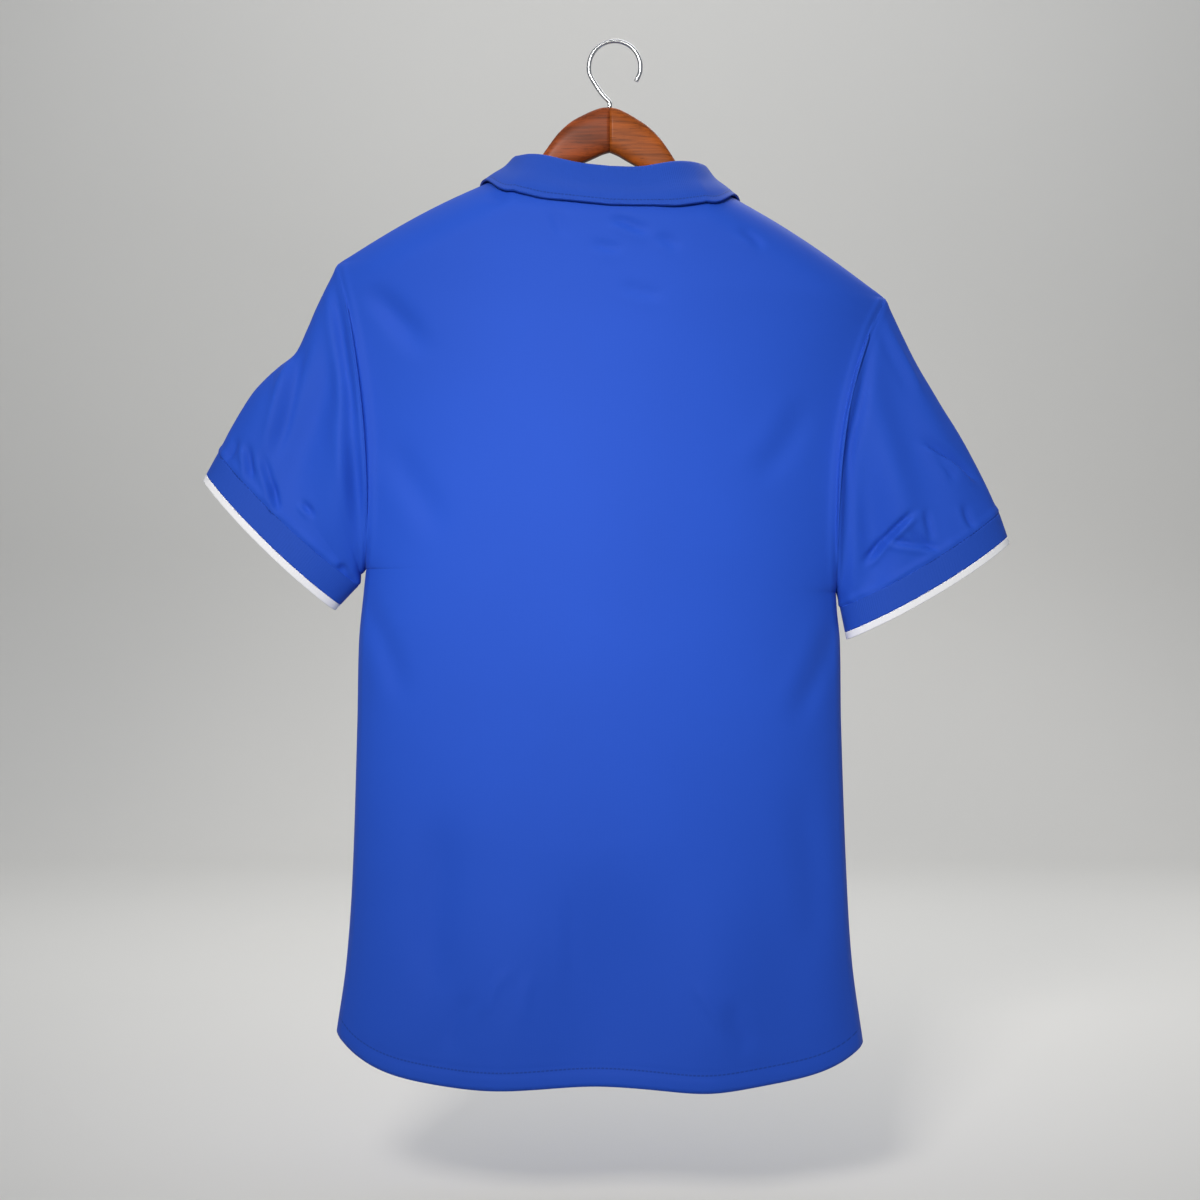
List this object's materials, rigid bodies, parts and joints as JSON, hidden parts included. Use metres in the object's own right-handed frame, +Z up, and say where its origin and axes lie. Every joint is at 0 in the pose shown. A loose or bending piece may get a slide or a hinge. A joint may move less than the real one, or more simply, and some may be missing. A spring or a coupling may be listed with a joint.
{
  "type": "football jersey on a wooden hanger",
  "caption": "Short-sleeved football jersey with a turned-down collar, white-tipped ribbed cuffs and a curved hem, hung on a two-piece wooden hanger with a wire hook.",
  "frame": {"origin": "the hang point, at the inner top of the hook", "axes": "+Z up, +X to the right of a viewer who faces the jersey's back, +Y from the jersey's back to its front"},
  "size_m": [0.65, 0.1412, 0.8327],
  "materials": {
    "royal_knit": "smooth royal-blue polyester interlock with a slight sheen",
    "royal_rib": "flat knitted royal-blue rib",
    "white_tipping": "white knitted tipping",
    "wood_left": "reddish-brown varnished wood, straight grain",
    "wood_right": "orange-brown varnished wood, straight grain",
    "hook_steel": "bright plated steel wire"
  },
  "bodies": {
    "root": {"back": "royal_knit", "front": "royal_knit", "collar": "royal_rib", "sleeve_left": "royal_knit", "sleeve_right": "royal_knit", "cuff_left": "royal_rib", "cuff_right": "royal_rib", "cuff_edge_left": "white_tipping", "cuff_edge_right": "white_tipping", "hanger_arm_left": "wood_left", "hanger_arm_right": "wood_right", "hanger_hook": "hook_steel"}
  },
  "joints": []
}
